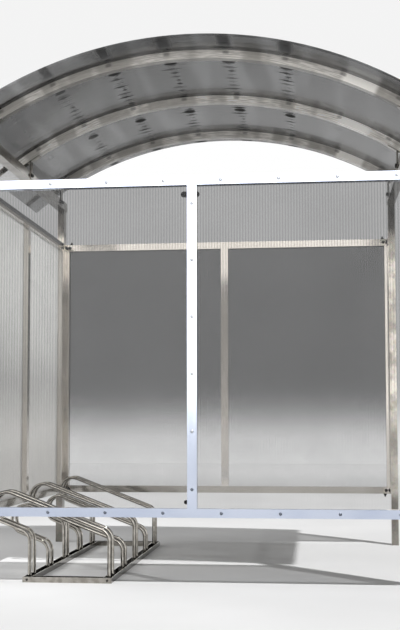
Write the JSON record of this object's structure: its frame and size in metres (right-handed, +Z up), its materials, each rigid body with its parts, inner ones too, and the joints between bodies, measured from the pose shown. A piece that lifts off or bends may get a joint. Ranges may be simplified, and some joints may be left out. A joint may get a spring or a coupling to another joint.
{
  "type": "bike shelter",
  "caption": "Open-fronted arched bicycle shelter: galvanised posts and ribs, twin-wall glazed side and back frames, curved twin-wall roof and a floor rack of high and low wheel hoops.",
  "frame": {"origin": "bottom centre: on the ground, midway between the posts both ways", "axes": "X from the closed back (-X) to the open entrance (+X); Y from the left wall (-Y) to the right wall (+Y) as someone coming in sees them; Z up"},
  "size_m": [2.4166, 1.806, 2.5005],
  "materials": {
    "post_steel": "hot-dip galvanised, dull",
    "beam_steel": "hot-dip galvanised, dull",
    "rib_steel": "hot-dip galvanised, satin",
    "bracket_steel": "galvanised plate",
    "rack_steel": "galvanised tube, satin",
    "frame_profile": "mill-finish extrusion",
    "cover_strip": "mill-finish strip",
    "wall_sheet": "clear twin-wall polycarbonate",
    "roof_sheet": "lightly tinted twin-wall polycarbonate"
  },
  "bodies": {
    "root": {"back_wall_bottom_rail": "frame_profile", "back_wall_left_jamb": "frame_profile", "back_wall_left_panel": "wall_sheet", "back_wall_mullion": "frame_profile", "back_wall_right_jamb": "frame_profile", "back_wall_right_panel": "wall_sheet", "back_wall_top_rail": "frame_profile", "eaves_beam_back": "beam_steel", "eaves_beam_front": "beam_steel", "left_wall_back_jamb": "frame_profile", "left_wall_back_panel": "wall_sheet", "left_wall_bottom_rail": "frame_profile", "left_wall_front_jamb": "frame_profile", "left_wall_front_panel": "wall_sheet", "left_wall_mullion": "frame_profile", "left_wall_top_rail": "frame_profile", "post_back_left": "post_steel", "post_back_right": "post_steel", "post_front_left": "post_steel", "post_front_right": "post_steel", "rack_back_channel": "rack_steel", "rack_front_channel": "rack_steel", "rack_hoops_1": "rack_steel", "rack_hoops_2": "rack_steel", "rack_hoops_3": "rack_steel", "rack_hoops_4": "rack_steel", "rack_hoops_5": "rack_steel", "rack_left_end_channel": "rack_steel", "rack_right_end_channel": "rack_steel", "rib_seats": "bracket_steel", "right_wall_back_jamb": "frame_profile", "right_wall_back_panel": "wall_sheet", "right_wall_bottom_rail": "frame_profile", "right_wall_front_jamb": "frame_profile", "right_wall_front_panel": "wall_sheet", "right_wall_mullion": "frame_profile", "right_wall_top_rail": "frame_profile", "roof_cover_strips": "cover_strip", "roof_rib_left": "rib_steel", "roof_rib_middle": "rib_steel", "roof_rib_right": "rib_steel", "roof_sheet_left": "roof_sheet", "roof_sheet_right": "roof_sheet", "wall_cleats": "bracket_steel"}
  },
  "joints": []
}
